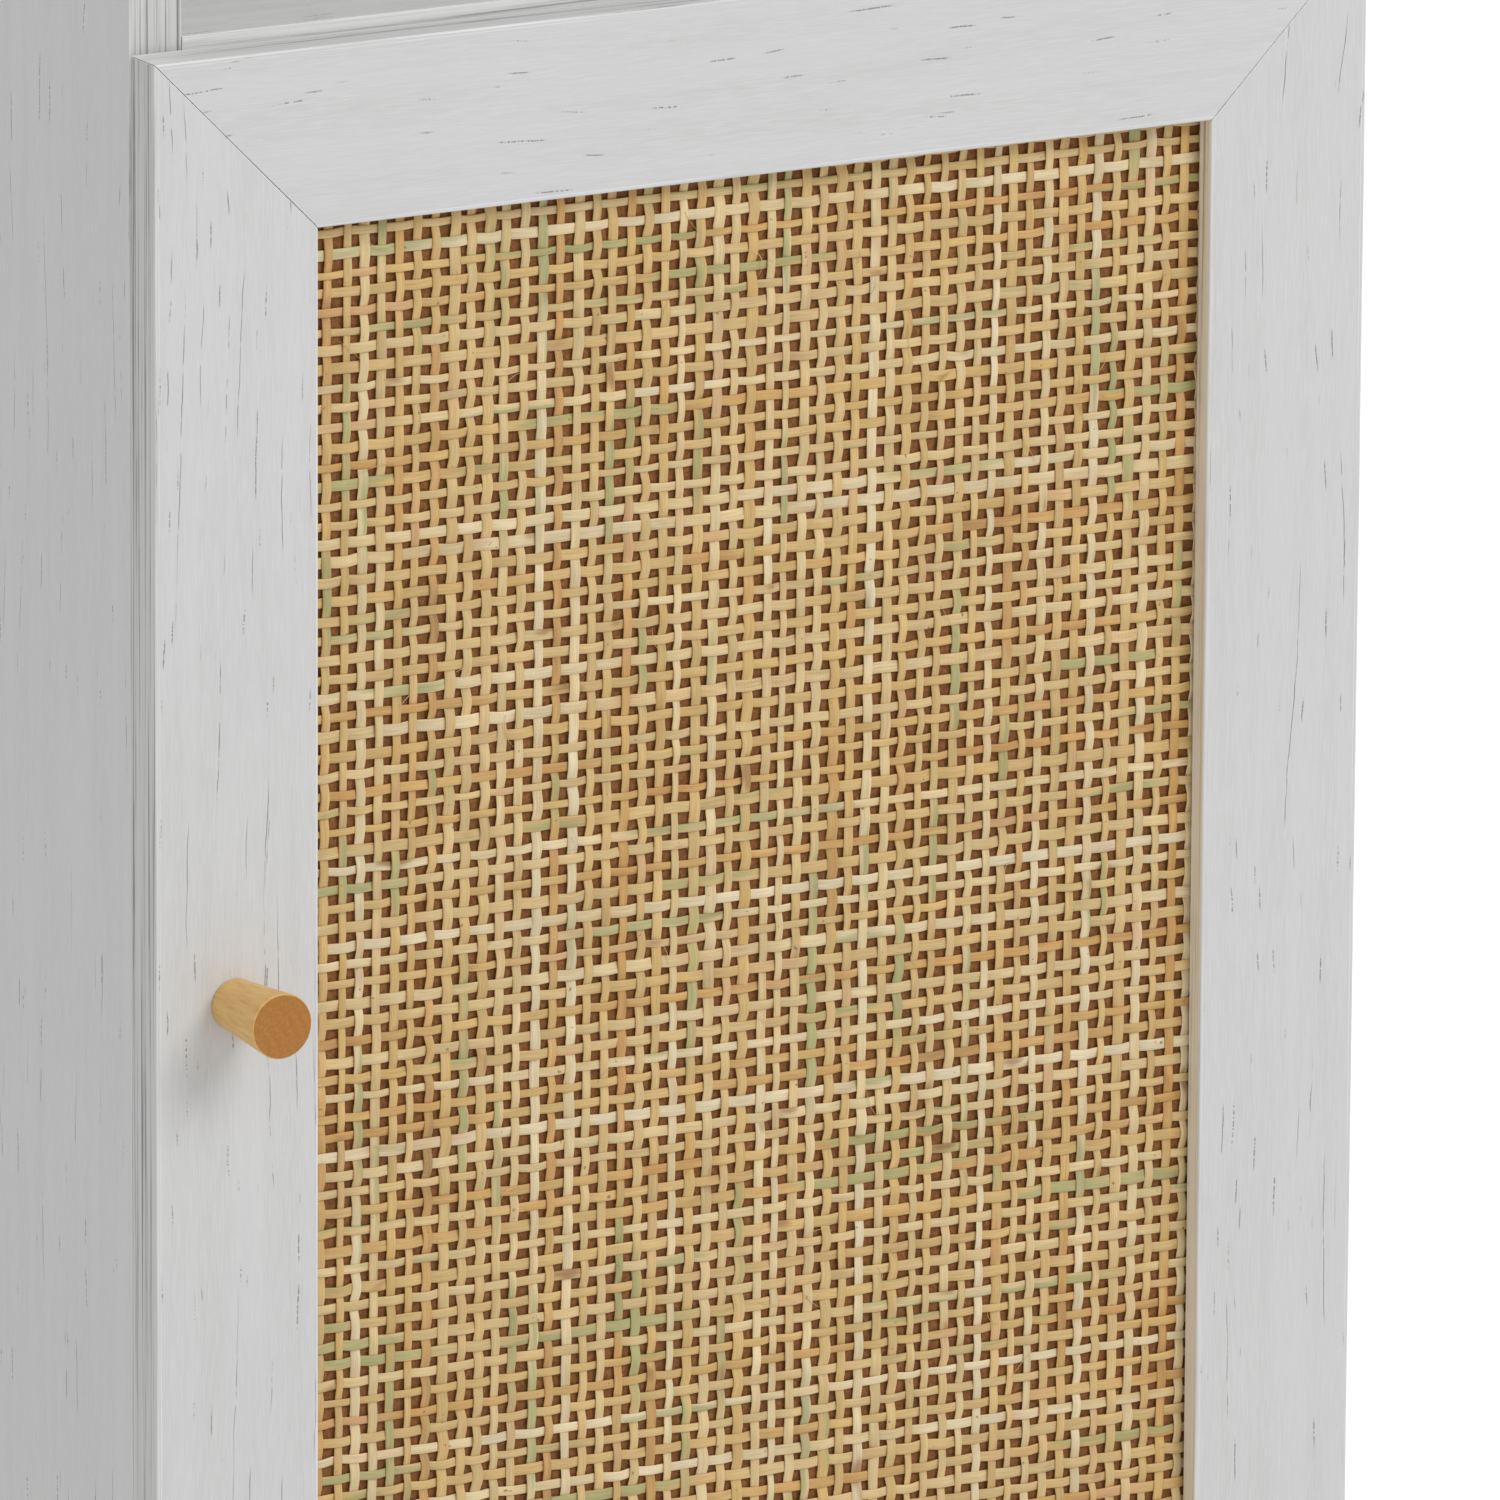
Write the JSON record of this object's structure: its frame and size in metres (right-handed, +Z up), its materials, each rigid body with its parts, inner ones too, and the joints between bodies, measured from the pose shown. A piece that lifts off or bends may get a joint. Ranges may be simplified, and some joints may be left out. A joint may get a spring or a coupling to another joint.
{
  "type": "shoe cabinet",
  "caption": "Tall narrow shoe cabinet with a whitewashed oak finish, an open niche on top and one framed door with a woven cane panel and a round wooden knob.",
  "frame": {"origin": "middle of the footprint (knob included) on the floor, at the underside of the glides", "axes": "+Z up along the height, the door faces -Y, +X to the right seen from the front, where the hinges are"},
  "size_m": [0.434, 0.379, 0.9],
  "materials": {
    "oak_foil": "matt whitewashed oak decor foil on board",
    "woven_cane": "natural rattan cane, plain weave, matt",
    "hardboard": "brown hardboard, matt",
    "beech": "turned solid beech, satin lacquer",
    "steel": "nickel-plated pressed steel, satin",
    "zinc": "die-cast zinc alloy, matt",
    "clear_plastic": "moulded translucent plastic"
  },
  "bodies": {
    "cabinet": {"back_panel": "hardboard", "bottom_panel": "oak_foil", "cam_lock_left_front": "zinc", "cam_lock_left_rear": "zinc", "cam_lock_right_front": "zinc", "cam_lock_right_rear": "zinc", "door_bumper_lower": "clear_plastic", "door_bumper_upper": "clear_plastic", "glide_left_front": "clear_plastic", "glide_left_rear": "clear_plastic", "glide_right_front": "clear_plastic", "glide_right_rear": "clear_plastic", "hinge_arm_lower": "steel", "hinge_arm_upper": "steel", "hinge_plate_lower": "steel", "hinge_plate_upper": "steel", "niche_shelf": "oak_foil", "plate_screw_lower_high": "steel", "plate_screw_lower_low": "steel", "plate_screw_upper_high": "steel", "plate_screw_upper_low": "steel", "plinth_rail": "oak_foil", "shelf_lower": "oak_foil", "shelf_pin_lower_left_front": "steel", "shelf_pin_lower_left_rear": "steel", "shelf_pin_lower_right_front": "steel", "shelf_pin_lower_right_rear": "steel", "shelf_pin_upper_left_front": "steel", "shelf_pin_upper_left_rear": "steel", "shelf_pin_upper_right_front": "steel", "shelf_pin_upper_right_rear": "steel", "shelf_upper": "oak_foil", "side_panel_left": "oak_foil", "side_panel_right": "oak_foil", "top_panel": "oak_foil"},
    "inner_links": {"inner_link_lower": "steel", "inner_link_upper": "steel"},
    "outer_links": {"outer_link_lower": "steel", "outer_link_upper": "steel"},
    "door": {"backing_board": "hardboard", "bead_bottom": "oak_foil", "bead_left": "oak_foil", "bead_right": "oak_foil", "bead_top": "oak_foil", "cane_panel": "woven_cane", "cup_screw_lower_high": "steel", "cup_screw_lower_low": "steel", "cup_screw_upper_high": "steel", "cup_screw_upper_low": "steel", "door_rail_bottom": "oak_foil", "door_rail_top": "oak_foil", "door_stile_left": "oak_foil", "door_stile_right": "oak_foil", "hinge_cup_lower": "steel", "hinge_cup_upper": "steel", "knob": "beech", "knob_screw": "steel"}
  },
  "joints": [
    {"name": "inner_link_swing", "type": "hinge", "parent": "cabinet", "child": "inner_links", "pos_m": [0.192, -0.1435, 0.361], "axis": [0, 0, 1], "range_deg": [-31.5, 0]},
    {"name": "door_swing", "type": "hinge", "parent": "inner_links", "child": "door", "pos_m": [0.207, -0.1472, 0.361], "axis": [0, 0, 1], "range_deg": [0, 126.35]},
    {"name": "outer_link_swing", "type": "hinge", "parent": "cabinet", "child": "outer_links", "pos_m": [0.179, -0.138, 0.361], "axis": [0, 0, 1], "range_deg": [-4.8, 0]}
  ],
  "couplings": [
    {"joint": "inner_link_swing", "follows": "door_swing", "ratio": -0.24812},
    {"joint": "outer_link_swing", "follows": "door_swing", "ratio": -0.03759}
  ]
}
